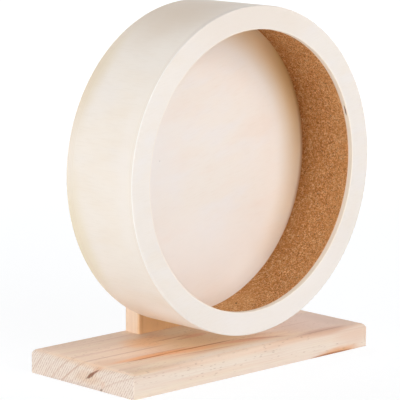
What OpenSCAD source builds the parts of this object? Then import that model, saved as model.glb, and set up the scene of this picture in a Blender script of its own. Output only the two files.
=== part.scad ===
// Rodent exercise wheel: a bent plywood drum lined with cork, closed at the back
// and open at the front, that runs on ball bearings before a pine stand.
// X runs along the base board, the open side of the wheel faces -Y, and +Z is up.
// The origin is the centre of the base board's underside. Sizes are millimetres.

/* [Base board] */
// Length of the base board, across the wheel
base_l = 280; // [240:1:340]
// Depth of the base board, front to back
base_d = 130; // [110:1:170]
// Thickness of the base board
base_t = 21; // [18:0.5:28]
// Radius of the round-over on the top edges
base_round = 5.5; // [2:0.5:8]
// Radius of the four standing corners
base_corner = 0.8; // [0.4:0.1:5]

/* [Upright board] */
// Width of the upright board
upright_w = 76; // [64:1:110]
// Thickness of the upright board
upright_t = 18; // [15:0.5:24]
// Height of the upright board above the axle
upright_over = 37; // [25:1:60]
// Radius of the upright's standing edges and its top edges
upright_round = 1.5; // [1:0.5:5]
// Radius of the upright's two top corners
upright_corner = 22; // [8:1:30]
// Flat left on the base board behind the upright
upright_inset = 6; // [2:0.5:12]

/* [Wheel] */
// Outside diameter of the wheel
wheel_d = 280; // [220:1:330]
// Gap between the wheel and the base board
wheel_gap = 12; // [5:1:30]
// Width of the running surface
run_w = 67; // [50:1:80]
// Thickness of the front ring
ring_t = 5; // [4:0.5:9]
// Width of the front ring's face
ring_w = 20; // [12:1:32]
// Thickness of the bent plywood band
band_t = 5; // [3:0.5:6]
// Thickness of the cork lining
cork_t = 3; // [2:0.5:5]
// Hairline joint where the ends of the cork strip meet
cork_joint = 0.4; // [0.2:0.1:1]
// Where the cork joint sits, counted from the right-hand side
cork_joint_angle = 90; // [0:5:355]
// Thickness of the closed back disc
disc_t = 9; // [8:0.5:12]
// Radius of the sanded outer edges of the ring and the disc
sanded = 0.8; // [0.3:0.1:1.5]
// Thickness of the glue line behind the cork
glue = 0.1; // [0.05:0.01:0.2]

/* [Hub block] */
// Diameter of the hub block
hub_d = 70; // [60:1:90]
// Thickness of the hub block
hub_t = 18; // [17.5:0.5:20]
// Radius of the hub block's rear edge
hub_round = 2; // [0.5:0.5:4]
// Diameter of the circle that the hub screws stand on
hub_screw_pcd = 50; // [40:1:54]
// Number of hub screws
hub_screws_n = 4; // [3:1:6]
// Length of a hub screw
hub_screw_l = 24; // [20:0.5:25]
// Thread diameter of a hub screw
hub_screw_d = 3.5; // [3:0.5:4]

/* [Bearings] */
// Bore of a bearing
bearing_id = 8.04; // [8.02:0.01:8.1]
// Outside diameter of a bearing
bearing_od = 22; // [22:0.5:24]
// Width of a bearing
bearing_b = 7; // [7:0.1:7.4]
// Diameter of the ring of balls
ball_pcd = 15; // [14.8:0.1:15.2]
// Diameter of a ball
ball_d = 3.969; // [3.6:0.001:4]
// Number of balls in a bearing
balls_n = 7; // [5:1:8]
// Outside diameter of the inner race's lands
inner_land_d = 12.1; // [11.8:0.1:12.4]
// Inside diameter of the outer race's lands
outer_land_d = 17.8; // [17.6:0.1:18.2]
// Inside diameter of the recess that holds a seal
seal_seat_d = 19.2; // [18.6:0.1:19.6]
// Depth of the recess that holds a seal
seal_seat_h = 1.2; // [1:0.05:1.25]
// Thickness of a seal
seal_t = 1; // [0.6:0.05:1]
// Running gap between a seal and the inner race
seal_lip = 0.2; // [0.1:0.05:0.4]
// Space between a ball and its raceway
race_clear = 0.05; // [0.02:0.01:0.08]
// Space between a ball and its cage pocket
pocket_clear = 0.08; // [0.05:0.01:0.1]
// Space between a bearing and the hub bore
seat_clear = 0.02; // [0.01:0.01:0.05]
// Space between the cage and the races
cage_clear = 0.45; // [0.35:0.05:0.6]
// Length of the cage on the closed side of its pockets
cage_back = 2.1; // [1.9:0.05:2.2]
// Length of the cage on the open side of its pockets
cage_front = 1; // [0.6:0.1:1.4]

/* [Axle] */
// Diameter of the axle bolt
bolt_d = 8; // [7.8:0.05:8]
// Length of the axle bolt under its head
bolt_l = 50; // [50:1:56]
// Width across flats of the bolt head and the nuts
hex_af = 13; // [12:0.5:14]
// Height of the bolt head
head_h = 5.3; // [4.5:0.1:5.5]
// Space around the bolt head in the hub and the disc
head_space = 1.4; // [1:0.1:1.6]
// Space between the bolt head and the floor of its pocket
head_room = 0.6; // [0.3:0.1:0.8]
// Outside diameter of the shims against the inner races
shim_d = 11.6; // [10.5:0.1:12]
// Thickness of a shim
shim_t = 1; // [0.5:0.1:1.2]
// Height of the thin nut that holds the bearings
jam_nut_h = 4; // [3.5:0.1:5]
// Outside diameter of the washer before the upright
washer_d = 16; // [14:0.5:20]
// Thickness of the washer before the upright
washer_t = 1.6; // [1:0.1:2]
// Outside diameter of the broad washer behind the upright
rear_washer_d = 24; // [20:0.5:30]
// Thickness of the broad washer behind the upright
rear_washer_t = 2; // [1.2:0.1:2.4]
// Height of the lock nut
lock_nut_h = 8; // [7.5:0.1:8.5]
// Diameter of the lock nut's round collar
collar_d = 11.8; // [11.4:0.1:12]
// Height of the lock nut's hexagon
lock_hex_h = 6.2; // [5.8:0.1:6.4]
// Diameter of the nylon insert in the lock nut
insert_d = 10.4; // [10:0.1:10.6]
// Thickness of the nylon insert
insert_t = 2; // [1.5:0.1:2.2]
// Lip of the lock nut that holds its insert
insert_lip = 0.6; // [0.4:0.1:0.8]
// Space around the bolt in its nuts, shims and washers
bolt_clear = 0.05; // [0.02:0.01:0.1]
// Space around the bolt in the upright
bolt_hole_clear = 0.25; // [0.1:0.05:0.5]

/* [Joining the stand] */
// Distance of each stand screw from the middle
stand_screw_x = 26; // [24:0.5:28]
// Length of a stand screw
stand_screw_l = 60; // [50:1:70]
// Thread diameter of a stand screw
stand_screw_d = 4.5; // [4:0.5:5]
// How far a screw head is sunk below the wood
head_sink = 0.4; // [0.1:0.1:1]
// Distance of each dowel from the middle
dowel_x = 11; // [9:0.5:13]
// Diameter of a dowel
dowel_d = 8; // [6:0.5:10]
// Length of a dowel
dowel_l = 40; // [30:1:50]
// How far a dowel stands in the base board
dowel_in = 14; // [10:0.5:15]
// Space around a dowel and at its two ends
dowel_clear = 0.1; // [0.05:0.05:0.3]
// Space around a screw in the wood
screw_clear = 0.05; // [0.02:0.01:0.1]

/* [Hidden] */

pine = [0.91, 0.76, 0.60];
plywood = [0.95, 0.92, 0.87];
cork = [0.63, 0.42, 0.25];
beech = [0.80, 0.62, 0.43];
zinc = [0.76, 0.78, 0.80];
steel = [0.62, 0.63, 0.65];
nylon = [0.90, 0.90, 0.86];
rubber = [0.10, 0.10, 0.11];

wood_fn = 180;
steel_fn = 64;
over = 1; // overrun of a cut past the face it opens

// Height of the axle, and the stack along Y from the upright forwards
wheel_r = wheel_d / 2;
axle_z = base_t + wheel_gap + wheel_r;
upright_back_y = base_d / 2 - upright_inset;
upright_front_y = upright_back_y - upright_t;
upright_mid_y = upright_back_y - upright_t / 2;
upright_top_z = axle_z + upright_over;
bearing_nut_y = upright_front_y - washer_t - jam_nut_h;
hub_back_y = bearing_nut_y;
hub_front_y = hub_back_y - hub_t;
rear_bearing_y = hub_back_y - shim_t - bearing_b;
front_bearing_y = rear_bearing_y - bearing_b;
head_seat_y = front_bearing_y - shim_t;
pocket_floor_y = head_seat_y - head_h - head_room;
disc_front_y = hub_front_y - disc_t;
ring_back_y = disc_front_y - run_w;
ring_front_y = ring_back_y - ring_t;

// Radii
band_r = wheel_r - band_t;
cork_out_r = band_r - glue;
cork_in_r = band_r - cork_t;
ring_in_r = wheel_r - ring_w;
bolt_r = bolt_d / 2;
hex_corner_r = hex_af / 2 / cos(30);
pocket_r = hex_corner_r + head_space;
ball_r = ball_d / 2;
nut_bore_r = bolt_r + bolt_clear;

// Wood screws: a 90 degree head, a plain shank, then the thread
screw_core = 0.68; // core diameter over thread diameter
screw_head = 1.95; // head diameter over thread diameter
screw_rim = 0.07; // thickness of the head's rim over the thread diameter
screw_pitch = 0.45; // pitch over thread diameter
screw_plain = 0.35; // share of the length that has no thread
recess_w = 0.24; // width of the cross recess over the thread diameter
recess_l = 1.05; // length of the cross recess over the thread diameter
recess_h = 0.5; // depth of the cross recess over the thread diameter

// Puts a shape drawn along +Z on the axle, from y towards the back
module on_axle(y) {
    translate([0, y, axle_z]) rotate([-90, 0, 0]) children();
}

// Round bar, drilled through
module drilled(r, bore_r, h, fn) {
    difference() {
        cylinder(r = r, h = h, $fn = fn);
        translate([0, 0, -over]) cylinder(r = bore_r, h = h + 2 * over, $fn = fn);
    }
}

// Rectangle of w by h with its two top corners rounded, its foot on the X axis
module domed_rect(w, h, r) {
    translate([-w / 2, 0]) square([w, h - r]);
    translate([r - w / 2, 0]) square([w - 2 * r, h]);
    for (side = [-1, 1])
        translate([side * (w / 2 - r), h - r]) circle(r = r, $fn = steel_fn);
}

// Rectangle of w by d about the origin with all four corners rounded
module round_rect(w, d, r) {
    square([w - 2 * r, d], center = true);
    square([w, d - 2 * r], center = true);
    for (x = [-1, 1], y = [-1, 1])
        translate([x * (w / 2 - r), y * (d / 2 - r)]) circle(r = r, $fn = steel_fn);
}

// Board of l by d by h with rounded standing edges and rounded top edges
module sanded_board(l, d, h, edge_r, stand_r, corner_r) {
    intersection() {
        linear_extrude(h) round_rect(l, d, stand_r);
        translate([-l / 2 - over, 0, 0]) rotate([90, 0, 90])
            linear_extrude(l + 2 * over) domed_rect(d, h, edge_r);
        translate([0, d / 2 + over, 0]) rotate([90, 0, 0])
            linear_extrude(d + 2 * over) domed_rect(l, h, corner_r);
    }
}

// Hexagon with both ends turned to a 30 degree chamfer
module chamfered_hex(h) {
    chamfer = (hex_corner_r - hex_af / 2) * tan(30);
    intersection() {
        cylinder(r = hex_corner_r, h = h, $fn = 6);
        rotate_extrude($fn = steel_fn)
            polygon([[0, 0], [hex_af / 2, 0], [hex_corner_r, chamfer],
                [hex_corner_r, h - chamfer], [hex_af / 2, h], [0, h]]);
    }
}

function screw_head_r(d) = d * screw_head / 2;
function screw_rim_h(d) = d * screw_rim;
function screw_core_r(d) = d * screw_core / 2;
function screw_cone_h(d) = screw_head_r(d) - d / 2;
function thread_start(d, l) = screw_rim_h(d) + screw_cone_h(d) + l * screw_plain;
function thread_turns(d, l) = floor((l - d - thread_start(d, l)) / (d * screw_pitch));
function thread_points(d, l) = [for (i = [0 : thread_turns(d, l) - 1], half = [0, 1])
    [half == 0 ? screw_core_r(d) : d / 2,
        thread_start(d, l) + (i + half / 2) * d * screw_pitch]];

// Wood screw of thread diameter d and length l, its head's face at z = 0
module wood_screw(d, l) {
    difference() {
        rotate_extrude($fn = steel_fn)
            polygon(concat([[0, 0], [screw_head_r(d), 0], [screw_head_r(d), screw_rim_h(d)],
                [screw_core_r(d), screw_rim_h(d) + screw_head_r(d) - screw_core_r(d)]],
                thread_points(d, l), [[screw_core_r(d), l - d], [0, l]]));
        for (turn = [0, 90])
            rotate([0, 0, turn])
                translate([-d * recess_l / 2, -d * recess_w / 2, -over])
                    cube([d * recess_l, d * recess_w, d * recess_h + over]);
    }
}

// Hole that a wood screw sits in, with its head sunk below the face at z = 0
module screw_hole(d, l) {
    r = d / 2 + screw_clear;
    head_r = screw_head_r(d) + screw_clear;
    cone_z = head_sink + screw_rim_h(d);
    translate([0, 0, -over]) cylinder(r = head_r, h = over + cone_z, $fn = steel_fn);
    translate([0, 0, cone_z]) cylinder(r1 = head_r, r2 = r, h = head_r - r, $fn = steel_fn);
    translate([0, 0, head_sink]) cylinder(r = r, h = l + screw_clear, $fn = steel_fn);
}

module at_stand_screws() {
    for (side = [-1, 1]) translate([side * stand_screw_x, upright_mid_y, 0]) children();
}

module at_dowels() {
    for (side = [-1, 1])
        translate([side * dowel_x, upright_mid_y, base_t - dowel_in]) children();
}

// Places a child on each hub screw's axis, pointing forwards from the hub's back
module at_hub_screws() {
    for (i = [0 : hub_screws_n - 1])
        on_axle(hub_back_y) rotate([180, 0, (i + 0.5) * 360 / hub_screws_n])
            translate([hub_screw_pcd / 2, 0, 0]) children();
}

module dowel_holes() {
    at_dowels() translate([0, 0, -dowel_clear])
        cylinder(d = dowel_d + 2 * dowel_clear, h = dowel_l + 2 * dowel_clear, $fn = steel_fn);
}

module base_board() {
    color(pine) difference() {
        sanded_board(base_l, base_d, base_t, base_round, base_corner, base_round);
        dowel_holes();
        at_stand_screws() screw_hole(stand_screw_d, stand_screw_l);
    }
}

module upright_board() {
    color(pine) difference() {
        translate([0, upright_mid_y, base_t])
            sanded_board(upright_w, upright_t, upright_top_z - base_t,
                upright_round, upright_round, upright_corner);
        dowel_holes();
        at_stand_screws() screw_hole(stand_screw_d, stand_screw_l);
        on_axle(upright_front_y - over)
            cylinder(r = bolt_r + bolt_hole_clear, h = upright_t + 2 * over, $fn = steel_fn);
    }
}

module stand_dowels() {
    chamfer = dowel_d / 8;
    color(beech) at_dowels() rotate_extrude($fn = steel_fn)
        polygon([[0, 0], [dowel_d / 2 - chamfer, 0], [dowel_d / 2, chamfer],
            [dowel_d / 2, dowel_l - chamfer], [dowel_d / 2 - chamfer, dowel_l], [0, dowel_l]]);
}

module stand_screws() {
    color(zinc) at_stand_screws()
        translate([0, 0, head_sink]) wood_screw(stand_screw_d, stand_screw_l);
}

module axle_bolt() {
    tip = bolt_d / 10;
    color(zinc) {
        on_axle(head_seat_y - head_h) chamfered_hex(head_h);
        on_axle(head_seat_y) rotate_extrude($fn = steel_fn)
            polygon([[0, 0], [bolt_r, 0], [bolt_r, bolt_l - tip], [bolt_r - tip, bolt_l],
                [0, bolt_l]]);
    }
}

module front_shim() {
    color(zinc) on_axle(head_seat_y) drilled(shim_d / 2, nut_bore_r, shim_t, steel_fn);
}

module rear_shim() {
    color(zinc) on_axle(hub_back_y - shim_t) drilled(shim_d / 2, nut_bore_r, shim_t, steel_fn);
}

module bearing_nut() {
    color(zinc) on_axle(bearing_nut_y) difference() {
        chamfered_hex(jam_nut_h);
        translate([0, 0, -over]) cylinder(r = nut_bore_r, h = jam_nut_h + 2 * over, $fn = steel_fn);
    }
}

module front_washer() {
    color(zinc) on_axle(upright_front_y - washer_t)
        drilled(washer_d / 2, nut_bore_r, washer_t, steel_fn);
}

module rear_washer() {
    color(zinc) on_axle(upright_back_y)
        drilled(rear_washer_d / 2, nut_bore_r, rear_washer_t, steel_fn);
}

module lock_nut() {
    seat_h = lock_nut_h - insert_lip - insert_t;
    color(zinc) on_axle(upright_back_y + rear_washer_t) difference() {
        union() {
            chamfered_hex(lock_hex_h);
            cylinder(d = collar_d, h = lock_nut_h, $fn = steel_fn);
        }
        translate([0, 0, -over]) cylinder(r = nut_bore_r, h = lock_nut_h + 2 * over, $fn = steel_fn);
        translate([0, 0, seat_h]) cylinder(d = insert_d, h = insert_t, $fn = steel_fn);
        translate([0, 0, seat_h + insert_t]) cylinder(r = (nut_bore_r + insert_d / 2) / 2,
            h = insert_lip + over, $fn = steel_fn);
    }
}

module lock_nut_insert() {
    seat_h = lock_nut_h - insert_lip - insert_t;
    color(nylon) on_axle(upright_back_y + rear_washer_t + seat_h + bolt_clear)
        drilled(insert_d / 2 - bolt_clear, nut_bore_r, insert_t - 2 * bolt_clear, steel_fn);
}

// Section of the groove that the balls run in
module groove() {
    translate([ball_pcd / 2, bearing_b / 2]) circle(r = ball_r + race_clear, $fn = steel_fn);
}

module inner_race(y) {
    color(steel) on_axle(y) rotate_extrude($fn = steel_fn) difference() {
        translate([bearing_id / 2, 0]) square([(inner_land_d - bearing_id) / 2, bearing_b]);
        groove();
    }
}

module outer_race(y) {
    color(steel) on_axle(y) rotate_extrude($fn = steel_fn) difference() {
        translate([outer_land_d / 2, 0]) square([(bearing_od - outer_land_d) / 2, bearing_b]);
        groove();
        for (z = [-over, bearing_b - seal_seat_h])
            translate([0, z]) square([seal_seat_d / 2, seal_seat_h + over]);
    }
}

module seals(y) {
    inset = seal_seat_h - seal_t;
    color(rubber) for (z = [inset, bearing_b - inset - seal_t])
        on_axle(y + z) drilled(seal_seat_d / 2 - bolt_clear, inner_land_d / 2 + seal_lip,
            seal_t, steel_fn);
}

// Places a child at each ball, the first one straight below the axle
module at_balls(y) {
    for (i = [0 : balls_n - 1])
        on_axle(y + bearing_b / 2) rotate([0, 0, 90 + i * 360 / balls_n])
            translate([ball_pcd / 2, 0, 0]) children();
}

module cage(y) {
    color(nylon) difference() {
        on_axle(y + bearing_b / 2 - cage_back)
            drilled(outer_land_d / 2 - cage_clear, inner_land_d / 2 + cage_clear,
                cage_back + cage_front, steel_fn);
        at_balls(y) sphere(r = ball_r + pocket_clear, $fn = steel_fn);
    }
}

module balls(y) {
    color(steel) at_balls(y) sphere(r = ball_r, $fn = steel_fn);
}

module front_inner_race() inner_race(front_bearing_y);
module rear_inner_race() inner_race(rear_bearing_y);
module front_outer_race() outer_race(front_bearing_y);
module rear_outer_race() outer_race(rear_bearing_y);
module front_cage() cage(front_bearing_y);
module rear_cage() cage(rear_bearing_y);
module front_balls() balls(front_bearing_y);
module rear_balls() balls(rear_bearing_y);
module front_seals() seals(front_bearing_y);
module rear_seals() seals(rear_bearing_y);

// Clear pocket for the bolt head, from the disc into the hub
module head_pocket() {
    on_axle(pocket_floor_y)
        cylinder(r = pocket_r, h = front_bearing_y - pocket_floor_y, $fn = steel_fn);
}

module hub_block() {
    color(beech) difference() {
        on_axle(hub_front_y) rotate_extrude($fn = wood_fn) {
            square([hub_d / 2, hub_t - hub_round]);
            square([hub_d / 2 - hub_round, hub_t]);
            translate([hub_d / 2 - hub_round, hub_t - hub_round])
                circle(r = hub_round, $fn = steel_fn);
        }
        head_pocket();
        on_axle(front_bearing_y) cylinder(r = bearing_od / 2 + seat_clear,
            h = hub_back_y - front_bearing_y + over, $fn = steel_fn);
        at_hub_screws() screw_hole(hub_screw_d, hub_screw_l);
    }
}

module hub_screws() {
    color(zinc) at_hub_screws()
        translate([0, 0, head_sink]) wood_screw(hub_screw_d, hub_screw_l);
}

// Section of a sheet from radius r1 to r2 and of thickness t, with the corners
// at its outer face, z = 0, sanded round
module sheet_section(r1, r2, t, soft_inside) {
    inner = soft_inside ? r1 + sanded : r1;
    translate([r1, sanded]) square([r2 - r1, t - sanded]);
    translate([inner, 0]) square([r2 - sanded - inner, t]);
    translate([r2 - sanded, sanded]) circle(r = sanded, $fn = steel_fn);
    if (soft_inside) translate([inner, sanded]) circle(r = sanded, $fn = steel_fn);
}

module front_ring() {
    color(plywood) on_axle(ring_front_y)
        rotate_extrude($fn = wood_fn) sheet_section(ring_in_r, wheel_r, ring_t, true);
}

module rim_band() {
    color(plywood) on_axle(ring_back_y) drilled(wheel_r, band_r, run_w, wood_fn);
}

module cork_lining() {
    color(cork) difference() {
        on_axle(ring_back_y) drilled(cork_out_r, cork_in_r, run_w, wood_fn);
        on_axle(ring_back_y - over) rotate([0, 0, -cork_joint_angle])
            translate([0, -cork_joint / 2, 0]) cube([wheel_r, cork_joint, run_w + 2 * over]);
    }
}

module back_disc() {
    color(plywood) difference() {
        on_axle(hub_front_y) mirror([0, 0, 1])
            rotate_extrude($fn = wood_fn) sheet_section(0, wheel_r, disc_t, false);
        head_pocket();
        at_hub_screws() screw_hole(hub_screw_d, hub_screw_l);
    }
}

base_board();
upright_board();
stand_dowels();
stand_screws();
axle_bolt();
front_shim();
rear_shim();
bearing_nut();
front_washer();
rear_washer();
lock_nut();
lock_nut_insert();
front_inner_race();
rear_inner_race();
front_cage();
rear_cage();
front_balls();
rear_balls();
front_outer_race();
rear_outer_race();
front_seals();
rear_seals();
hub_block();
hub_screws();
back_disc();
rim_band();
cork_lining();
front_ring();
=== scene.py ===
# %% [markdown]
# # A wooden running wheel for a small rodent
# The object is a drum of bent plywood that turns on ball bearings before a pine stand. Its front
# is an open plywood ring, its back a closed plywood disc, and the running surface is cork.
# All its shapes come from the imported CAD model: every edge that shows is already cut, turned or
# sanded there. What is left for Blender is the light and what each surface is made of, and on
# a wooden thing that is nearly everything the eye reads.
#
# The model loads in metres, at rest, with every part's place in its mesh. That is why patterns
# on Object coordinates sit still on the parts, and turn with the wheel when it turns.

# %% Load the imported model
import math

import bmesh
import bpy
from mathutils import Euler, Matrix, Vector

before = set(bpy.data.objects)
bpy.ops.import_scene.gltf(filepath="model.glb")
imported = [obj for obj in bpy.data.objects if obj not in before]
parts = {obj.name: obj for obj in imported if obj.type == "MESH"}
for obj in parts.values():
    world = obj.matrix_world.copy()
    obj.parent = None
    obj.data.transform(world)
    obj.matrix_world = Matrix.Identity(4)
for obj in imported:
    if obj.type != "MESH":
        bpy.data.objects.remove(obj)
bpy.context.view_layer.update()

scene = bpy.context.scene

# %% [markdown]
# ## The camera
# The photograph was taken with a long lens, because the near and far ends of the base board
# differ little in size. Its place could be guessed and nudged, but a fit is surer: the outlines
# of the ring, the disc and the base board were set against the picture until they agreed within
# one to three pixels. The camera looks down a little, from the left of the open side.

# %% Camera
IMAGE_SIDE = 400  # pixels
FOCAL_PIXELS = 2396.9
SENSOR = 36.0  # millimetres
CAMERA_AZIMUTH, CAMERA_ELEVATION, CAMERA_ROLL = -43.697, 9.908, 0.075  # degrees
CAMERA_PLACE = (-1.40987, -1.47167, 0.49671)  # metres

camera = bpy.data.objects.new("camera", bpy.data.cameras.new("camera"))
camera.data.sensor_width = SENSOR
camera.data.lens = FOCAL_PIXELS / IMAGE_SIDE * SENSOR
aim = Euler((math.radians(90 - CAMERA_ELEVATION), 0, math.radians(CAMERA_AZIMUTH))).to_matrix()
roll = Matrix.Rotation(math.radians(CAMERA_ROLL), 3, "Z")
camera.rotation_euler = (aim @ roll).to_euler()
camera.location = CAMERA_PLACE
scene.collection.objects.link(camera)
scene.camera = camera
scene.view_settings.view_transform = "Standard"
print("camera with a", round(camera.data.lens, 1), "mm lens at", CAMERA_PLACE)

# %% [markdown]
# ## The light
# A studio picture like this one is lit by big soft boxes. A strong one stands on the left, down
# to the floor, so that it reaches under the drum. One in front reaches into the wheel, and a
# weak one hangs high in front. The dull top of the drum says that hardly anything hangs over it.
# Cooler boxes behind light the base board, whose shaded part under the wheel stays amber.
# One on the right is hardly seen from the camera, so that no side of the object is left dark.
#
# How strong each one is was fitted as well. Light adds up, so the object was rendered under one
# box at a time, and the shares that give the picture's brightness on the drum, the ring, the
# disc and the base were solved for.
#
# The light is slightly cool and the wood's own colour slightly warm, which cancels out where
# light falls straight on the wood. Light that has bounced inside the wheel or under it has met
# the warm wood twice or more, so the hollows turn amber, as they do in the picture. Where that
# is not enough, amber shade and paler bounce light are painted into the wood under the wheel,
# on the stand and at the disc's rim.

# %% Lamps
LAMP_DISTANCE = 2.6  # metres
LAMP_TARGET = Vector((0, 0, 0.15))  # near the middle of the object
COOL = (0.95, 1.0, 1.06)  # red, green and blue light
COOLER = (0.9, 1.0, 1.13)
SOFT_BOXES = {
    # name: (azimuth, elevation, side in metres, power in watts, colour)
    "box_left": (-92, 0, 1.7, 66.8, COOL),
    "box_front": (0, 13, 1.7, 44.5, COOL),
    "box_front_high": (-20, 44, 1.7, 13.1, COOL),
    "box_back_left": (-150, 30, 1.2, 7.6, COOLER),
    "box_back": (168, 33, 1.4, 19.4, COOLER),
    "box_back_right": (136, 30, 0.8, 4.1, COOLER),
    "box_right": (90, 15, 1.7, 26.2, COOL),
}


def direction(azimuth, elevation):
    """Unit vector from the object towards a place that is azimuth degrees round it from its
    open side, anticlockwise from above, and elevation degrees up."""
    turn, rise = math.radians(azimuth), math.radians(elevation)
    flat = math.cos(rise)
    return Vector((math.sin(turn) * flat, -math.cos(turn) * flat, math.sin(rise)))


for name, (azimuth, elevation, side, power, colour) in SOFT_BOXES.items():
    lamp = bpy.data.objects.new(name, bpy.data.lights.new(name, "AREA"))
    lamp.data.size = side
    lamp.data.energy = power
    lamp.data.color = colour
    away = direction(azimuth, elevation)
    lamp.location = LAMP_TARGET + away * LAMP_DISTANCE
    lamp.rotation_euler = away.to_track_quat("Z", "Y").to_euler()
    lamp.visible_camera = False
    scene.collection.objects.link(lamp)
print("lit by", ", ".join(SOFT_BOXES))

# %% [markdown]
# ## Helpers for materials
# A material is a small graph of nodes. Written out in code that gets long, so one function adds
# a node, sets what it is given and makes its links. Colours are typed as the hex values that a
# picture editor shows, and Cycles calculates with linear light, so one more function converts.

# %% Node and colour helpers
MM = 1000.0  # millimetres in a metre
SOFT = {"interpolation_type": "SMOOTHSTEP"}  # a Map Range node without corners


def linear(code):
    """The linear RGBA value of an sRGB colour such as "F0E7DD"."""
    channels = [int(code[i:i + 2], 16) / 255 for i in (0, 2, 4)]
    return [c / 12.92 if c <= 0.04045 else ((c + 0.055) / 1.055) ** 2.4 for c in channels] + [1.0]


def add(tree, kind, inputs=None, out=None, **settings):
    """Adds a node to a tree. inputs maps a socket's name or number to a value, a hex colour or
    another node's output. Gives the node back, or its output called or numbered out."""
    node = tree.nodes.new("ShaderNode" + kind)
    for name, value in settings.items():
        setattr(node, name, value)
    for socket, value in (inputs or {}).items():
        if isinstance(value, bpy.types.NodeSocket):
            tree.links.new(value, node.inputs[socket])
        else:
            node.inputs[socket].default_value = linear(value) if isinstance(value, str) else value
    return node if out is None else node.outputs[out]


def blank_material(name):
    """A material without nodes, and its tree."""
    material = bpy.data.materials.new(name)
    material.use_nodes = True
    material.node_tree.nodes.clear()
    return material, material.node_tree


def cover(material, shader, *names):
    """Ends a material with its shader and puts it in every slot of the parts named."""
    add(material.node_tree, "OutputMaterial", {"Surface": shader})
    for name in names:
        for slot in parts[name].material_slots:
            slot.material = material
    print(material.name, "on", ", ".join(names))


# %% [markdown]
# ## Patterns that several finishes share
# Wood is a bundle of fibres, so all its patterns are long one way and short the other. The easy
# way to draw that is an even noise whose space has been squeezed: dividing a position by its
# own length along each axis, in millimetres, gives cells of just that size. The same squeeze
# makes a single soft spot where a real board has a knot, a resin pocket or a speck.

# %% Place, streaks and grains
def place_mm(tree):
    """The position on the part in millimetres."""
    where = add(tree, "TexCoord", out="Object")
    return add(tree, "VectorMath", {0: where, "Scale": MM}, 0, operation="SCALE")


def streaks(tree, place, size, detail=2.0, shift=0.0):
    """Soft noise from 0 to 1 whose cells are about size = (x, y, z) millimetres."""
    squeezed = add(tree, "Mapping", {"Vector": place, "Location": [shift] * 3,
                                     "Scale": [1 / s for s in size]}, 0)
    return add(tree, "TexNoise", {"Vector": squeezed, "Scale": 1.0, "Detail": detail}, "Fac")


def grains(tree, place, size, shift=0.0):
    """Cells of size = (x, y, z) millimetres: the distance from each one's middle, and three
    random numbers from 0 to 1 that are the same all over a cell."""
    squeezed = add(tree, "Mapping", {"Vector": place, "Location": [shift] * 3,
                                     "Scale": [1 / s for s in size]}, 0)
    cells = add(tree, "TexVoronoi", {"Vector": squeezed, "Scale": 1.0})
    chance = add(tree, "SeparateColor", {0: cells.outputs["Color"]})
    return cells.outputs["Distance"], list(chance.outputs)


# %% Spots and tints
EDGE_LUMPS = 2.5  # about how many lumps a ragged spot's edge has over half its size


def spot(tree, place, centre, half, turn=(0, 0, 0), soft=0.5, ragged=0.0):
    """1 inside an ellipsoid of half = (x, y, z) millimetres about centre, 0 outside it."""
    inside = add(tree, "Mapping", {"Vector": place, "Location": centre, "Scale": half,
                                   "Rotation": [math.radians(t) for t in turn]}, 0,
                 vector_type="TEXTURE")
    reach = add(tree, "VectorMath", {0: inside}, "Value", operation="LENGTH")
    if ragged:
        edge = add(tree, "TexNoise", {"Vector": inside, "Scale": EDGE_LUMPS, "Detail": 2.0}, "Fac")
        reach = add(tree, "Math", {0: edge, 1: ragged, 2: reach}, 0, operation="MULTIPLY_ADD")
    outer = 1 + ragged / 2  # the noise is 0.5 on average, and this takes that back
    return add(tree, "MapRange", {0: reach, 1: outer, 2: outer - soft}, 0, **SOFT)


def tint(tree, colour, other, strength, mask, span=(0.0, 1.0)):
    """Blends colour towards other by strength, as mask goes from the first to the second value
    of span. 6, 7 and 2 are the Mix node's colour sockets."""
    share = add(tree, "MapRange", {0: mask, 1: span[0], 2: span[1], 4: strength}, 0, **SOFT)
    return add(tree, "Mix", {0: share, 6: colour, 7: other}, 2, data_type="RGBA")


def marked_and_shaded(tree, place, colour, marks_and_shading):
    """Lays single spots over a colour, one after the other: features of the thing itself, and
    painted light and shade. A spot is its centre and half sizes in millimetres, its turn in
    degrees, its softness, raggedness and strength, and its colour."""
    for centre, half, turn, soft, ragged, strength, other in marks_and_shading:
        colour = tint(tree, colour, other, strength,
                      spot(tree, place, centre, half, turn, soft, ragged))
    return colour


# %% Faces
FACING = (0.55, 0.85)  # a normal's share along an axis: side on up to one, facing from the other


def facing(tree, axis):
    """1 where the part's own surface faces along that axis, x, y or z, and 0 where it's side on."""
    normal = add(tree, "SeparateXYZ", {0: add(tree, "TexCoord", out="Normal")}, "xyz".index(axis))
    along = add(tree, "Math", {0: normal}, 0, operation="ABSOLUTE")
    return add(tree, "MapRange", {0: along, 1: FACING[0], 2: FACING[1]}, 0, **SOFT)


# %% [markdown]
# ## Pine for the stand
# Pine grows in rings, and every face of a board is a cut through the same rings: arcs on the
# end, straight streaks on top. A picture of wood wrapped round the board would break at each
# edge, so the pattern is solid. The distance from the tree's heart, which lies outside the
# board, runs through a colour ramp with one dark line for each winter. This tree grew fast: its
# rings are 4 to 13 mm wide. A slow noise bends them, because no tree is round.

# %% Growth rings
RING_SPAN = (180.0, 262.0)  # distances from the heart that the ramp covers, in millimetres
RING_BEND, RING_WAVE = 3.0, 1.4  # how far rings stray from a circle over the length, and locally
WINTER = ((-2.0, 0.0), (0.0, 1.0), (0.7, 0.0))  # a line's profile: place, darkness


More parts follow.
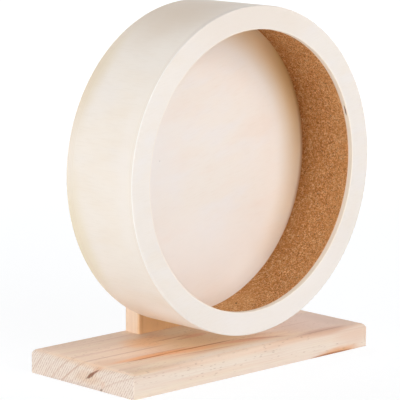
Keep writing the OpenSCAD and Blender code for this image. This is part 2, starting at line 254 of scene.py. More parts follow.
def growth_rings(tree, board, rings):
    """1 at each winter line, 0 in summer wood. board is the place with the heart at y = z = 0,
    and rings maps a ring's radius in millimetres to its strength."""
    across = add(tree, "VectorMath", {0: board, 1: (0, 1, 1)}, 0, operation="MULTIPLY")
    radius = add(tree, "VectorMath", {0: across}, "Value", operation="LENGTH")
    for size, detail, stray in (((190, 60, 60), 1.0, RING_BEND), ((70, 8, 8), 2.0, RING_WAVE)):
        radius = add(tree, "Math", {0: streaks(tree, board, size, detail), 1: stray, 2: radius}, 0,
                     operation="MULTIPLY_ADD")
    middle = (RING_BEND + RING_WAVE) / 2
    place_in_ramp = add(tree, "MapRange", {0: radius, 1: RING_SPAN[0] + middle,
                                           2: RING_SPAN[1] + middle}, 0)
    ramp = add(tree, "ValToRGB", {"Fac": place_in_ramp})
    stops = ramp.color_ramp.elements
    stops.remove(stops[1])
    stops[0].position = 0.0
    stops[0].color = (0, 0, 0, 1)
    for ring, strength in sorted(rings.items()):
        # Summer wood darkens slowly towards the winter line, and starts afresh right after it
        for offset, share in WINTER:
            stop = stops.new((ring + offset - RING_SPAN[0]) / (RING_SPAN[1] - RING_SPAN[0]))
            stop.color = (share * strength, share * strength, share * strength, 1)
    return ramp.outputs["Color"]


# %% [markdown]
# Along the grain come fine fibres and short brown dashes, which are resin canals. The sawn ends
# keep the marks of the blade: leaning lines about 2 mm apart, which the open ends of the fibres
# break into rows of specks.

# %% Resin canals and saw marks
SAW_PITCH = 2.2  # millimetres between two lines
SAW_LEAN = 32.0  # degrees from upright


def resin_canals(tree, board):
    """1 on short thin dashes, 2 to 4 mm long along the grain, that come in loose groups."""
    distance, chance = grains(tree, board, (7.5, 1.3, 1.3))
    dash = add(tree, "MapRange", {0: distance, 1: 0.3, 2: 0.15}, 0, **SOFT)
    few = add(tree, "MapRange", {0: chance[0], 1: 0.2, 2: 0.6}, 0, **SOFT)
    group = add(tree, "MapRange", {0: streaks(tree, board, (90, 10, 10), 1.0, 5.0), 1: 0.38,
                                   2: 0.55}, 0, **SOFT)
    few = add(tree, "Math", {0: few, 1: group}, 0, operation="MULTIPLY")
    return add(tree, "Math", {0: dash, 1: few}, 0, operation="MULTIPLY")


def saw_marks(tree, board):
    """1 in the furrows of the blade, 0 on the ridges between them."""
    lean = add(tree, "Mapping", {"Vector": board,
                                 "Rotation": (math.radians(-SAW_LEAN), 0, 0)}, 0)
    lines = add(tree, "TexWave", {"Vector": lean, "Scale": math.pi / 10 / SAW_PITCH,
                                  "Distortion": 1.1, "Detail": 1.0, "Detail Scale": 0.3}, "Fac",
                bands_direction="Y")
    specks = add(tree, "MapRange", {0: streaks(tree, lean, (40, 1.1, 1.7), 1.0, 2.0), 1: 0.35,
                                    2: 0.65, 3: 0.35}, 0, **SOFT)
    lines = add(tree, "MapRange", {0: lines, 1: 0.3, 2: 0.8}, 0, **SOFT)
    return add(tree, "Math", {0: lines, 1: specks}, 0, operation="MULTIPLY")


# %% [markdown]
# The board itself is planed and sanded and has no varnish, so it is nearly matt, and a little
# smoother on the dense winter lines. Its faces differ in tone because they cut the fibres at
# different angles. Then come this board's own marks, one by one, as spots, and with them
# painted shade and bounce light where the wheel shades the stand.

# %% Planed pine
REDDER_BAND, YELLOWER_BAND = "E9BFA6", "F4DCBC"  # soft bands along the board, 6 and 12 mm wide
BAND_SPAN = (0.4, 0.7)  # noise values between which a band comes up
WINTER_WOOD, FIBRE, RESIN, FURROW = "CB9877", "D2A283", "A87656", "C49A82"
PINE_RELIEF = 0.12  # millimetres of bump for a height of 1
BARE_WOOD = 0.2  # a weak gloss: the more, the more of the drum's top burns out from behind


def planed_pine(name, grain, heart, rings, colours, canals, marks_and_shading, *boards):
    """Pine board. grain is the axis along it, heart the place of the tree's heart with that
    axis first, colours those of the wide face, of the end and of the sides along y, and canals
    the strength of the resin canals."""
    wide, end, side = colours
    material, tree = blank_material(name)
    place = place_mm(tree)
    board = add(tree, "Mapping", {"Vector": place, "Location": [-h for h in heart],
                                  "Rotation": (0, math.radians(0 if grain == "x" else 90), 0)}, 0)
    sawn = facing(tree, grain)
    colour = tint(tree, wide, side, 1.0, facing(tree, "y"))
    colour = tint(tree, colour, REDDER_BAND, 0.3, streaks(tree, board, (230, 6, 6), 2.0, 3.0),
                  BAND_SPAN)
    colour = tint(tree, colour, YELLOWER_BAND, 0.3, streaks(tree, board, (150, 12, 12), 1.0, 9.0),
                  BAND_SPAN)
    colour = tint(tree, colour, end, 1.0, sawn)

    # Winter lines come out on the sawn end and are planed fainter along the board
    winters = growth_rings(tree, board, rings)
    clear = add(tree, "MapRange", {0: sawn, 3: 0.9}, 0)
    winters = add(tree, "Math", {0: winters, 1: clear}, 0, operation="MULTIPLY")
    colour = tint(tree, colour, WINTER_WOOD, 0.75, winters)
    fibre = streaks(tree, board, (45, 0.8, 0.8), 3.0)
    colour = tint(tree, colour, FIBRE, 0.25, fibre, (0.42, 0.75))
    colour = marked_and_shaded(tree, place, colour, marks_and_shading)
    colour = tint(tree, colour, RESIN, canals, resin_canals(tree, board))
    furrows = add(tree, "Math", {0: saw_marks(tree, board), 1: sawn}, 0, operation="MULTIPLY")
    colour = tint(tree, colour, FURROW, 0.5, furrows)
    rough = add(tree, "MapRange", {0: winters, 3: 0.62, 4: 0.48}, 0)
    height = add(tree, "Math", {0: fibre, 1: furrows}, 0, operation="SUBTRACT")
    raised = add(tree, "Bump", {"Height": height, "Strength": 0.6,
                                "Distance": PINE_RELIEF / MM}, 0)
    cover(material, add(tree, "BsdfPrincipled", {
        "Base Color": colour, "Roughness": rough, "Normal": raised,
        "Specular IOR Level": BARE_WOOD}, 0), *boards)


# %% Base board
BASE_RINGS = {185.3: 0.5, 189.0: 0.3, 194.0: 0.4, 199.7: 0.5, 206.4: 0.4, 212.8: 0.85,
              222.1: 0.6, 229.5: 0.4, 241.5: 0.5}
BASE_COLOURS = ("F7D8BD", "F7E5D3", "F1DECB")
BASE_MARKS_AND_SHADING = [
    # centre, half sizes, turn, softness, raggedness, strength, colour
    # Broad tints of the top, pinker towards the right end. Under the wheel, the amber and paler
    # patches are painted shade and painted bounce light.
    ((-50, 15, 21), (40, 26, 6), (0, 0, 0), 0.8, 0.4, 0.7, "FDC48A"),
    ((-12, -14, 21), (68, 54, 6), (0, 0, 0), 0.8, 0.3, 0.95, "FFE4C0"),
    ((-4, 28, 21), (34, 20, 6), (0, 0, 0), 0.9, 0.3, 0.6, "FFF0D2"),
    ((-6, 5, 21), (26, 8, 6), (0, 0, 0), 0.9, 0.3, 0.5, "F2B796"),
    ((60, -28, 21), (30, 9, 6), (0, 0, 0), 0.9, 0.2, 0.5, "F6E2D4"),
    ((-24, -59, 21), (96, 19, 6), (0, 0, 0), 0.8, 0.2, 0.95, "FFF1E0"),
    ((104, -20, 21), (66, 70, 6), (0, 0, 0), 0.8, 0.3, 0.9, "E3C5B3"),
    ((128, -34, 21), (26, 50, 6), (0, 0, 0), 0.9, 0.3, 0.5, "D5B5A2"),
    ((90, -60, 21), (46, 12, 6), (0, 0, 0), 0.8, 0.3, 0.95, "DBB098"),
    ((-86, -50, 21), (56, 13, 6), (0, 0, 0), 0.9, 0.2, 0.75, "FFEACF"),
    ((-124, -60, 21), (30, 7, 6), (0, 0, 0), 0.8, 0.2, 0.4, "F8DBB4"),
    ((-128, -18, 21), (36, 16, 6), (0, 0, 0), 0.9, 0.3, 0.9, "ECC5A6"),
    ((-118, 54, 21), (54, 14, 6), (0, 0, 0), 0.9, 0.3, 0.8, "EBCAB0"),
    # The reddish streak that the resin pocket leaves along the top, with its dark lines
    ((-82, -25, 21), (66, 8, 6), (0, 0, -3), 0.8, 0.4, 0.85, "EFAC78"),
    ((-44, -32, 21), (58, 10, 6), (0, 0, -5), 0.9, 0.4, 0.6, "FCC08C"),
    ((14, -38, 21), (46, 8, 6), (0, 0, -12), 0.9, 0.4, 0.5, "EDA983"),
    ((-90, -28.0, 21), (38, 1.9, 6), (0, 0, 0), 0.8, 0.5, 0.75, "B5652F"),
    ((-30, -28.5, 21), (62, 1.9, 6), (0, 0, -2), 0.8, 0.5, 0.75, "B96B38"),
    ((-66, -20.5, 21), (52, 1.3, 6), (0, 0, -3), 0.9, 0.5, 0.5, "C47C48"),
    ((-38, -42.5, 21), (60, 1.4, 6), (0, 0, -5), 0.9, 0.5, 0.5, "C8825C"),
    ((-28, 11, 21), (38, 1.8, 6), (0, 0, 0), 0.9, 0.5, 0.55, "C98149"),
    ((-22, 3, 21), (14, 1.4, 6), (0, 0, -4), 0.9, 0.5, 0.4, "C98149"),
    ((34, -43.5, 21), (40, 3.2, 6), (0, 0, -24), 0.9, 0.5, 0.55, "CB957A"),
    ((90, -24.5, 21), (34, 1.4, 6), (0, 0, 0), 0.9, 0.5, 0.35, "C49880"),
    ((90, -58.5, 21), (42, 1.6, 6), (0, 0, 0), 0.8, 0.5, 0.45, "B08068"),
    # The sawn end is warmer near the top and greyer at the bottom
    ((-140, 0, 21), (7, 80, 7), (0, 0, 0), 0.9, 0.3, 0.6, "F3CBA6"),
    ((-140, 0, -1), (7, 80, 5), (0, 0, 0), 0.9, 0.3, 0.5, "DFCDC0"),
    ((-140, -8, 9), (7, 26, 9), (0, 0, 0), 0.9, 0.4, 0.5, "ECC6A2"),
    # The pocket itself on the sawn end, its amber halo, and a small bark speck below
    ((-140, -19, 17), (7, 12, 3.5), (-30, 0, 0), 0.9, 0.5, 0.6, "E9B088"),
    ((-140, -27, 6), (7, 6, 3.5), (-50, 0, 0), 0.9, 0.5, 0.3, "EBB894"),
    ((-140, -13.6, 12.6), (7, 12.5, 1.3), (-32, 0, 0), 0.5, 0.5, 0.9, "915F46"),
    ((-140, -12.0, 11.4), (7, 6.6, 2.2), (-34, 0, 0), 0.5, 0.5, 0.85, "94634A"),
    ((-140, -25, 1.2), (4, 2.3, 0.9), (-20, 0, 0), 0.5, 0.4, 0.8, "8C6A58"),
    # Warm wood near the top of the side, and an amber wedge low at its right end
    ((0, -65, 21), (190, 8, 6.5), (0, 0, 0), 0.7, 0.2, 0.55, "EFC6A4"),
    ((0, -65, 0), (190, 8, 6), (0, 0, 0), 0.9, 0.2, 0.5, "EBD3C4"),
    ((128, -65, 12), (46, 9, 12), (0, 0, 0), 0.9, 0.3, 0.6, "E9C4AC"),
    ((101, -65, 0), (44, 9, 8), (0, -3, 0), 0.9, 0.4, 0.85, "E6A877"),
    ((95, -65, 0.2), (38, 9, 1.8), (0, 0, 0), 0.7, 0.4, 0.8, "A5683F"),
]
planed_pine("planed_pine", "x", (0, -113.8, -160.2), BASE_RINGS, BASE_COLOURS, 0.45,
            BASE_MARKS_AND_SHADING, "base_board")

# %% Upright board
UPRIGHT_RINGS = {184.0: 0.35, 193.0: 0.5, 201.0: 0.35, 211.0: 0.5, 222.0: 0.4, 235.0: 0.45}
UPRIGHT_COLOURS = ("FEE0C2", "F0DAC6", "FADAB0")
UPRIGHT_MARKS_AND_SHADING = [
    # centre, half sizes, turn, softness, raggedness, strength, colour
    # Warmer along its front left corner, and a thin streak low on the left. Amber near the base is
    # painted bounce light in the wheel's shade.
    ((-38, 41.5, 100), (4, 2.6, 130), (0, 0, 0), 0.6, 0.2, 0.5, "F3C79E"),
    ((0, 41, 20), (70, 6, 40), (0, 0, 0), 0.7, 0.3, 0.8, "FFCF98"),
    ((-34, 41, 36), (2.2, 3, 30), (0, 0, 0), 1.0, 0.2, 0.4, "E0AC78"),
]
planed_pine("planed_pine_upright", "z", (0, -150.0, -120.0), UPRIGHT_RINGS, UPRIGHT_COLOURS,
            0.15, UPRIGHT_MARKS_AND_SHADING, "upright_board")

# %% [markdown]
# ## Plywood for the ring, the disc and the drum's wall
# Sanded birch plywood is almost white. Its face is a veneer peeled off a turning log, so its figure
# is not lines but clouds, drawn out along the grain, a little warmer here and cooler there. That
# is quieter than it sounds: with more contrast the wheel would look painted.
#
# Where the sheet is cut, its plies show as thin lines, and the cut itself is paler than the
# face. Sanding after the gluing has smeared them until they hardly show.

# %% Helpers for plywood
AXLE_Z = 173.0  # height of the axle in millimetres
GLUE_LINE = (0.5, 0.15)  # millimetres from a glue line's middle where it begins and is full


def axle_distance(tree, place):
    """Distance from the axle in millimetres."""
    flat = add(tree, "Mapping", {"Vector": place, "Location": (0, 0, -AXLE_Z),
                                 "Scale": (1, 0, 1)}, 0)
    return add(tree, "VectorMath", {0: flat}, "Value", operation="LENGTH")


def glue_lines(tree, place, glue_y):
    """1 on thin lines at those places along y, 0 between them."""
    y = add(tree, "SeparateXYZ", {0: place}, 1)
    nearest = None
    for line_y in glue_y:
        gap = add(tree, "Math", {0: y, 1: line_y}, 0, operation="SUBTRACT")
        gap = add(tree, "Math", {0: gap}, 0, operation="ABSOLUTE")
        nearest = gap if nearest is None else add(tree, "Math", {0: nearest, 1: gap}, 0,
                                                  operation="MINIMUM")
    return add(tree, "MapRange", {0: nearest, 1: GLUE_LINE[0], 2: GLUE_LINE[1]}, 0, **SOFT)


# %% Birch plywood
CLOUD_SPAN = (0.45, 0.75)  # noise values between which a cloud comes up
VENEER_FIBRE, PLY_GLUE = "DCC6AC", "D9B48A"
VENEER_RELIEF = 0.05  # millimetres of bump for a height of 1


def birch_plywood(name, colours, cloud, grain, turn, cut_edge, marks_and_shading, *sheets, rim_shading=()):
    """Sanded birch plywood, nearly matt. colours are those of the face, of its warm and of its
    cool clouds. cloud and grain are the sizes of clouds and fibres along x, y and z in
    millimetres, and turn leans them on the face. cut_edge is the colour of the cut, the places
    of its glue lines and its own spots of colour and painted shading, if the sheet's edges show.
    The last, keyword argument lists painted shade and warm bounce light on the face, which come
    up towards its rim."""
    face, warm, cool = colours
    material, tree = blank_material(name)
    place = place_mm(tree)
    leaning = add(tree, "Mapping", {"Vector": place, "Rotation": (0, math.radians(turn), 0)}, 0)
    fibre = streaks(tree, leaning, grain, 3.0, 4.0)
    colour = tint(tree, face, warm, 0.7, streaks(tree, leaning, cloud, 3.0), CLOUD_SPAN)
    colour = tint(tree, colour, cool, 0.7, streaks(tree, leaning, cloud, 2.0, 7.0), CLOUD_SPAN)
    colour = tint(tree, colour, VENEER_FIBRE, 0.12, fibre, (0.45, 0.8))
    if cut_edge:
        cut, glue_y, cut_marks_and_shading = cut_edge
        on_face = facing(tree, "y")
        cut = marked_and_shaded(tree, place, cut, cut_marks_and_shading)
        colour = tint(tree, colour, cut, 1.0, on_face, (1.0, 0.0))
        glue = add(tree, "Math", {0: glue_lines(tree, place, glue_y), 1: on_face}, 0,
                   operation="SUBTRACT")
        colour = tint(tree, colour, PLY_GLUE, 0.12, glue)
    colour = marked_and_shaded(tree, place, colour, marks_and_shading)
    if rim_shading:
        distance, front = axle_distance(tree, place), facing(tree, "y")
        # Painted shade and warm bounce light, coming up towards the rim
        for rim_tone, strength, centre, half, inner, outer in rim_shading:
            here = add(tree, "MapRange", {0: distance, 1: inner, 2: outer}, 0)
            for mask in (front, spot(tree, place, centre, half, soft=1.0, ragged=0.3)):
                here = add(tree, "Math", {0: here, 1: mask}, 0, operation="MULTIPLY")
            colour = tint(tree, colour, rim_tone, strength, here)
    rough = add(tree, "MapRange", {0: fibre, 1: 0.3, 2: 0.8, 3: 0.5, 4: 0.62}, 0)
    raised = add(tree, "Bump", {"Height": fibre, "Strength": 0.5,
                                "Distance": VENEER_RELIEF / MM}, 0)
    cover(material, add(tree, "BsdfPrincipled", {
        "Base Color": colour, "Roughness": rough, "Normal": raised,
        "Specular IOR Level": BARE_WOOD}, 0), *sheets)


# %% Drum wall
RIM_COLOUR = "FAEBDA"
RIM_TONES_AND_SHADING = [
    # centre, half sizes, turn, softness, raggedness, strength, colour
    # Broad tones: darker on top, painted shade where little light comes from above, and yellower
    # along the back edge
    ((-40, -10, 325), (105, 100, 95), (0, 0, 0), 1.0, 0.2, 0.95, "E6CDB2"),
    ((-100, 16, 250), (80, 26, 100), (0, 0, 0), 1.0, 0.2, 0.75, "EDD6B4"),
    ((-125, 16, 120), (70, 28, 110), (0, 0, 0), 1.0, 0.2, 0.75, "F1DDBA"),
    # Paler low down, painted light in the drum's shaded underside, and paler along the front edge
    ((-70, -46, 50), (70, 56, 38), (0, 0, 0), 0.9, 0.2, 0.85, "FFF3E6"),
    ((-120, -52, 173), (60, 14, 120), (0, 0, 0), 1.0, 0.2, 0.5, "FCEEE0"),
]
birch_plywood("bent_birch_plywood", (RIM_COLOUR, "F8E6D1", "F8EADC"), (22, 60, 22),
              (1.2, 14, 1.2), 0.0, None, RIM_TONES_AND_SHADING, "rim_band")

# %% Front ring
# The sanded corner between the ring's face and its cut, painted paler than both as a highlight
ARRIS_HIGHLIGHT = ((0, -63.6, 173), (900, 1.3, 900), (0, 0, 0), 0.6, 0.0, 0.6, "FFFAF2")
RING_MARKS_AND_SHADING = [
    # centre, half sizes, turn, softness, raggedness, strength, colour
    # Darker on top and paler low down: painted shade and painted light
    ((-10, -63.6, 315), (160, 20, 100), (0, 0, 0), 1.0, 0.2, 0.6, "E9D7C6"),
    ((40, -63.6, 60), (140, 20, 90), (0, 0, 0), 1.0, 0.2, 0.5, "F8EBE0"),
    # The cut of the opening, painted paler as light that falls on it, and warmer where it meets the
    # cork
    ((0, -61.1, 173), (122, 60, 122), (0, 0, 0), 0.02, 0.0, 0.9, "FFF0DC"),
    ((0, -58.6, 173), (145, 1.8, 145), (0, 0, 0), 0.3, 0.0, 0.8, "FACB9C"),
    # A burnt spot on the inner edge
    ((112.8, -61.5, 214.4), (2.0, 0.8, 6.5), (0, -19.8, 0), 0.5, 0.4, 0.95, "7A4A30"),
]
birch_plywood("birch_plywood_ring", ("F1E4D7", "F0E1D1", "F0E5DC"), (34, 22, 18),
              (10, 1.2, 1.2), 10.0, (RIM_COLOUR, (-62.0, -60.3), RIM_TONES_AND_SHADING + [ARRIS_HIGHLIGHT]),
              RING_MARKS_AND_SHADING, "front_ring")

# %% [markdown]
# The disc is the quietest face of all, but for its rim: where it meets the cork, painted shade and
# warm light bounced from the cork give it an amber gradient with a dark line at the very edge,
# most of all at the upper right. A paler band further in lifts the shade.

# %% Back disc
DISC_MARKS_AND_SHADING = [
    # centre, half sizes, turn, softness, raggedness, strength, colour
    # A dark speck left of the middle, and paler low down: painted light that lifts the shade there
    ((-43.1, 8.4, 178.4), (0.8, 1, 0.8), (0, 0, 0), 0.5, 0.0, 0.55, "6B5140"),
    ((0, 8.4, 95), (130, 4, 60), (0, 0, 0), 1.0, 0.2, 0.5, "FEF6EE"),
    ((66, 8.4, 60), (62, 4, 42), (0, 0, 0), 1.0, 0.2, 0.8, "FFFAF2"),
    # The back, painted warmer against the cool light of the boxes behind
    ((0, 17.4, 173), (900, 0.8, 900), (0, 0, 0), 0.4, 0.0, 0.6, "FADCBB"),
    # The front again: cooler on the left
    ((-60, 8.4, 180), (75, 4, 90), (0, 0, 0), 1.0, 0.2, 0.6, "F6F0EA"),
]
# Painted shade and warm bounce light at the rim, where the disc meets the cork
DISC_RIM_SHADING = [
    # colour, strength, centre, half sizes, and the radii between which it comes up
    ("FFF8EC", 0.6, (70, 8.4, 236), (200, 4, 200), 86, 106),
    ("FFE2B4", 0.9, (62, 8.4, 226), (225, 4, 225), 98, 124),
    ("EDC37E", 0.8, (104, 8.4, 234), (80, 4, 95), 112, 131),
    ("BC8246", 0.75, (120, 8.4, 176), (90, 4, 150), 127.5, 131.5),
]
birch_plywood("birch_plywood_disc", ("F8EDE0", "F8E8D9", "F6EEE7"), (48, 20, 20),
              (12, 1.2, 1.2), 14.0, (RIM_COLOUR, (10.2, 12.0, 13.8, 15.6), RIM_TONES_AND_SHADING),
              DISC_MARKS_AND_SHADING, "back_disc", rim_shading=DISC_RIM_SHADING)

# %% [markdown]
# ## Cork for the running surface
# Cork sheet is ground bark, pressed with a little glue: grains of about one to two millimetres,
# each with its own brown, a few nearly black from the outer bark, and tiny pits between them.
# Voronoi cells are just such grains. Two sizes of them are mixed, since one size alone looks like
# tiles. Over them lie pale curved flecks, the edges of cut grains: they are the thin lines along
# which a soft noise passes its middle value. Near the open side the sheet is painted paler, as
# light that reaches in there. Beside the disc it is painted darker, as shade, and low on the
# wheel, where it faces up, it is painted paler again, as light.

# %% Cork sheet
FINE_GRAIN, COARSE_GRAIN, CRUMB_SPACING = 0.75, 2.0, 4.2  # millimetres
CORK, COARSE_CORK, DARK_CORK, PALE_CORK = "DA9A5D", "BA773E", "914F22", "FFD098"
# The last three: painted light at the mouth, painted shade beside the disc, painted light low on
# the wheel
MOUTH_LIT_CORK, DEEP_SHADED_CORK, BOTTOM_LIT_CORK = "F5BC7E", "935A22", "F0B87C"
CORK_FLECK, BARK, DARKEST_BARK = "FFDDAA", "5A3418", "43240F"
CORK_RELIEF = 0.2  # millimetres of bump for a height of 1


def pressed_cork(name, *sheets):
    """Pressed cork granulate. Dead matt, with a rough, pitted surface."""
    material, tree = blank_material(name)
    place = place_mm(tree)
    fine_distance, fine = grains(tree, place, [FINE_GRAIN] * 3)
    coarse_distance, coarse = grains(tree, place, [COARSE_GRAIN] * 3, 11.0)
    colour = tint(tree, CORK, COARSE_CORK, 0.3, coarse[0], (0.3, 1.0))
    colour = tint(tree, colour, DARK_CORK, 0.75, fine[0], (0.6, 0.9))
    colour = tint(tree, colour, PALE_CORK, 0.95, fine[1], (0.7, 0.95))

    # Painted light at the mouth, painted shade beside the disc, and painted light again low on
    # the wheel, where the cork faces up
    y = add(tree, "SeparateXYZ", {0: place}, 1)
    colour = tint(tree, colour, MOUTH_LIT_CORK, 0.3, y, (-25.0, -50.0))
    colour = tint(tree, colour, DEEP_SHADED_CORK, 0.38, y, (-30.0, 10.0))
    colour = tint(tree, colour, BOTTOM_LIT_CORK, 0.35,
                  spot(tree, place, (40, 0, 42), (60, 40, 26), soft=1.0))

    # Pale curved flecks
    wander = streaks(tree, place, (1.6, 1.6, 1.6), 1.0, 31.0)
    off_line = add(tree, "Math", {0: wander, 1: 0.5}, 0, operation="SUBTRACT")
    off_line = add(tree, "Math", {0: off_line}, 0, operation="ABSOLUTE")
    fleck = add(tree, "MapRange", {0: off_line, 1: 0.05, 2: 0.012}, 0, **SOFT)
    some = add(tree, "MapRange", {0: streaks(tree, place, (3.5, 3.5, 3.5), 1.0, 17.0), 1: 0.5,
                                  2: 0.62}, 0, **SOFT)
    fleck = add(tree, "Math", {0: fleck, 1: some}, 0, operation="MULTIPLY")
    colour = tint(tree, colour, CORK_FLECK, 0.85, fleck)

    # Sparse crumbs of dark outer bark, and the largest of them, low on the right
    bark_distance, bark = grains(tree, place, [CRUMB_SPACING] * 3, 23.0)
    crumb = add(tree, "MapRange", {0: bark_distance, 1: 0.2, 2: 0.12}, 0, **SOFT)
    rare = add(tree, "MapRange", {0: bark[2], 1: 0.76, 2: 0.8}, 0, **SOFT)
    crumb = add(tree, "Math", {0: crumb, 1: rare}, 0, operation="MULTIPLY")
    colour = tint(tree, colour, BARK, 0.8, crumb)
    largest = spot(tree, place, (34.3, -6.6, 45.5), (1.3, 1.3, 1.3), soft=0.4, ragged=0.3)
    colour = tint(tree, colour, DARKEST_BARK, 0.9, largest)

    pits = add(tree, "Math", {0: coarse_distance, 1: fine_distance}, 0, operation="ADD")
    raised = add(tree, "Bump", {"Height": pits, "Strength": 0.8, "Distance": CORK_RELIEF / MM}, 0,
                 invert=True)
    cover(material, add(tree, "BsdfPrincipled", {
        "Base Color": colour, "Roughness": 0.92, "Normal": raised, "Specular IOR Level": 0.15},
        0), *sheets)


pressed_cork("pressed_cork", "cork_lining")

# %% [markdown]
# ## Beech for the hub and the dowels
# Beech is a little pinker and closer than pine, without rings that stand out. What gives it
# away are its flecks: short dark dashes a millimetre or two long, all along the grain.

# %% Beech
BEECH, BEECH_BAND, BEECH_FLECK = "DDB891", "CFA47C", "A5744C"
BEECH_RELIEF = 0.05  # millimetres of bump for a height of 1


def turned_beech(name, along, *turned):
    """Turned and sanded beech, with the gleam of a dense wood. along is the grain's axis."""
    material, tree = blank_material(name)
    place = place_mm(tree)
    bands = streaks(tree, place, [60 if a == along else 6 for a in "xyz"])
    colour = tint(tree, BEECH, BEECH_BAND, 0.7, bands, (0.3, 0.7))
    distance = grains(tree, place, [2.6 if a == along else 0.5 for a in "xyz"])[0]
    fleck = add(tree, "MapRange", {0: distance, 1: 0.4, 2: 0.2}, 0, **SOFT)
    colour = tint(tree, colour, BEECH_FLECK, 0.5, fleck)
    rough = add(tree, "MapRange", {0: fleck, 3: 0.5, 4: 0.6}, 0)
    raised = add(tree, "Bump", {"Height": fleck, "Strength": 0.5, "Distance": BEECH_RELIEF / MM},
                 0, invert=True)
    cover(material, add(tree, "BsdfPrincipled", {
        "Base Color": colour, "Roughness": rough, "Normal": raised}, 0), *turned)


turned_beech("turned_beech", "x", "hub_block")
turned_beech("beech_dowel", "z", "stand_dowels")

# %% [markdown]
# ## Metal, nylon and rubber for the axle
# The bolt, nuts, washers and screws are steel with a bright zinc plate: cool grey, with a faint
# cloudiness where the crystals of the plate differ. Bearing rings and balls are hard steel,
# ground and polished, so they are smoother and darker. Nylon and rubber are plain plastics. All
# of these are small here, and their marks are drawn coarser than life so that they show at all.

# %% Zinc plate
ZINC, ZINC_CLOUD, ZINC_TINGE = "C9CDD1", "AEB4BA", "CFCBBE"
SMOOTH_RELIEF = 0.02  # millimetres of bump for a height of 1, on zinc, nylon and rubber


def zinc_plate(name, *plated):
    """Steel with bright zinc plate: cool, slightly cloudy, softly shining."""
    material, tree = blank_material(name)
    place = place_mm(tree)
    cloud = streaks(tree, place, (2.2, 2.2, 2.2), 3.0)
    colour = tint(tree, ZINC, ZINC_CLOUD, 0.7, cloud, (0.35, 0.7))
    colour = tint(tree, colour, ZINC_TINGE, 0.3, streaks(tree, place, (6, 6, 6), 1.0, 5.0))
    rough = add(tree, "MapRange", {0: cloud, 1: 0.3, 2: 0.7, 3: 0.28, 4: 0.42}, 0)
    raised = add(tree, "Bump", {"Height": cloud, "Strength": 0.4,
                                "Distance": SMOOTH_RELIEF / MM}, 0)
    cover(material, add(tree, "BsdfPrincipled", {
        "Base Color": colour, "Metallic": 1.0, "Roughness": rough, "Normal": raised}, 0), *plated)


zinc_plate("bright_zinc_plate", "axle_bolt", "front_shim", "rear_shim", "bearing_nut",
           "front_washer", "rear_washer", "lock_nut", "hub_screws", "stand_screws")

# %% Bearing steel
STEEL, STEEL_RING = "C4C6C9", "A3A6AA"


def ground_steel(name, *ground):
    """Hardened bearing steel, ground and polished: dark, clear reflections in fine rings."""
    material, tree = blank_material(name)
    rings = add(tree, "TexWave", {"Vector": place_mm(tree), "Scale": 1.6, "Distortion": 1.0,
                                  "Detail": 2.0}, "Fac",
                wave_type="RINGS", rings_direction="Y")
    colour = tint(tree, STEEL, STEEL_RING, 0.5, rings)
    rough = add(tree, "MapRange", {0: rings, 3: 0.14, 4: 0.26}, 0)
    cover(material, add(tree, "BsdfPrincipled", {
        "Base Color": colour, "Metallic": 1.0, "Roughness": rough}, 0), *ground)


ground_steel("ground_bearing_steel", "front_inner_race", "rear_inner_race",
             "front_outer_race", "rear_outer_race", "front_balls", "rear_balls")

# %% Nylon and rubber
SHINE_SPREAD = 0.08  # how far the roughness strays to either side


def moulded(name, colours, roughness, grain_mm, *mouldings):
    """Moulded plastic or rubber: one colour with a faint grain and a soft shine."""
    material, tree = blank_material(name)
    grain = streaks(tree, place_mm(tree), (grain_mm, grain_mm, grain_mm), 3.0)
    colour = tint(tree, colours[0], colours[1], 0.6, grain, (0.35, 0.7))
    rough = add(tree, "MapRange", {0: grain, 1: 0.3, 2: 0.7, 3: roughness - SHINE_SPREAD,
                                   4: roughness + SHINE_SPREAD}, 0)
    raised = add(tree, "Bump", {"Height": grain, "Strength": 0.4,
                                "Distance": SMOOTH_RELIEF / MM}, 0)
    cover(material, add(tree, "BsdfPrincipled", {
        "Base Color": colour, "Roughness": rough, "Normal": raised}, 0), *mouldings)


moulded("natural_nylon", ("EDEBE2", "DAD6C8"), 0.42, 1.5, "lock_nut_insert", "front_cage",
        "rear_cage")
moulded("black_nitrile_rubber", ("1C1C1E", "2A2A2C"), 0.6, 1.0, "front_seals", "rear_seals")

# %% [markdown]
# ## Floor and background
# The picture's background is pure white. More light would do that, and would burn out the pale
# plywood as well. So the white is for the eye only: where a camera ray meets the floor, most of
# what it sees is an even glow, and the rest is the real floor with the shadow on it. Further off,
# where the lamps hardly reach and the real floor is grey, it sees the glow alone. Light that
# bounces from the floor to the wheel comes from the real, plain floor alone.

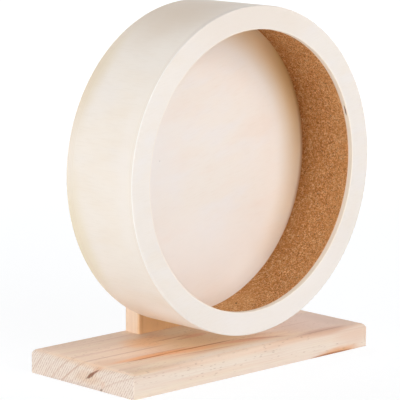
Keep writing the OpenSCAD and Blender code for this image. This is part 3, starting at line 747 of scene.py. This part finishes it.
# %% Floor
FLOOR_SIDE = 8.0  # metres
PAPER, WHITE = "F2F2F2", "FFFFFF"
GLOW_SHARE = 0.8  # near the object
GLOW = 1.09  # with the lit floor's share it comes to white, and in the shadow to a little less
ALL_GLOW = 1600.0  # millimetres from the middle at which the real floor has faded out
GLOW_FADE = 0.6  # the share of that distance over which it fades
FLOOR_GAP = 0.0002  # metres, keeps it clear of the underside of the base


def seen_directly(tree):
    """1 for rays from the camera and for those that metal or glass sends on, else 0."""
    path = add(tree, "LightPath")
    seen = path.outputs["Is Camera Ray"]
    for ray in ("Is Glossy Ray", "Is Transmission Ray"):
        seen = add(tree, "Math", {0: seen, 1: path.outputs[ray]}, 0, operation="MAXIMUM")
    return seen


paper, tree = blank_material("white_studio_paper")
matt = add(tree, "BsdfDiffuse", {"Color": PAPER}, 0)
glow = add(tree, "Emission", {"Color": WHITE, "Strength": GLOW}, 0)
near = spot(tree, place_mm(tree), (0, 0, 0), [ALL_GLOW] * 3, soft=GLOW_FADE)
share = add(tree, "MapRange", {0: near, 3: 1.0, 4: GLOW_SHARE}, 0)
share = add(tree, "Math", {0: share, 1: seen_directly(tree)}, 0, operation="MULTIPLY")
add(tree, "OutputMaterial", {"Surface": add(tree, "MixShader", {0: share, 1: matt, 2: glow}, 0)})

sheet = bmesh.new()
bmesh.ops.create_grid(sheet, x_segments=1, y_segments=1, size=FLOOR_SIDE / 2)
floor_mesh = bpy.data.meshes.new("floor")
sheet.to_mesh(floor_mesh)
sheet.free()
floor_mesh.materials.append(paper)
floor = bpy.data.objects.new("floor", floor_mesh)
floor.location.z = -FLOOR_GAP
scene.collection.objects.link(floor)
print("floor", FLOOR_SIDE, "m square")

# %% World
ROOM_LIGHT = 0.01  # what walls and ceiling send back
world = bpy.data.worlds.new("studio")
scene.world = world
world.use_nodes = True
tree = world.node_tree
tree.nodes.clear()
strength = add(tree, "MapRange", {0: seen_directly(tree), 3: ROOM_LIGHT}, 0)
add(tree, "OutputWorld", {"Surface": add(tree, "Background", {"Color": WHITE,
                                                              "Strength": strength}, 0)})
print("world at", ROOM_LIGHT)

# %% [markdown]
# ## The end
# Nothing here changed a shape.

# %% Finish
print("finished")
